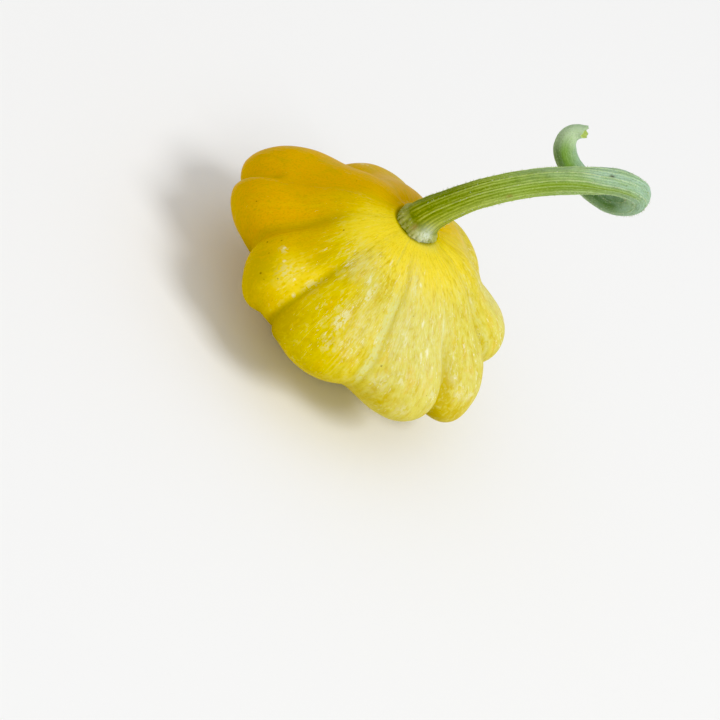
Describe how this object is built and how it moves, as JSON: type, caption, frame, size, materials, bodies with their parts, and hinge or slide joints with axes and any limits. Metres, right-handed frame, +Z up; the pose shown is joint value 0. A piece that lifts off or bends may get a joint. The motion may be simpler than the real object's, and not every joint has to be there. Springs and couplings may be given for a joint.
{
  "type": "pattypan squash",
  "caption": "Whole scallop-edged summer squash standing on its blossom end, domed towards the stalk, with its long ribbed stalk still on and curled round behind itself.",
  "frame": {"origin": "middle of the flat blossom end that the squash rests on, on the fruit's axis", "axes": "+Z up along the fruit's axis from the blossom end to the stalk seat; the stalk leans towards +X and +Y"},
  "size_m": [0.1384, 0.1291, 0.1404],
  "materials": {
    "waxy_yellow_skin": "waxy golden yellow skin with pale streaks, soft gloss",
    "ribbed_green_stalk": "ribbed fresh green stalk, matte, with a blue-green bloom on the curl"
  },
  "bodies": {
    "root": {"fruit": "waxy_yellow_skin", "stalk": "ribbed_green_stalk"}
  },
  "joints": []
}
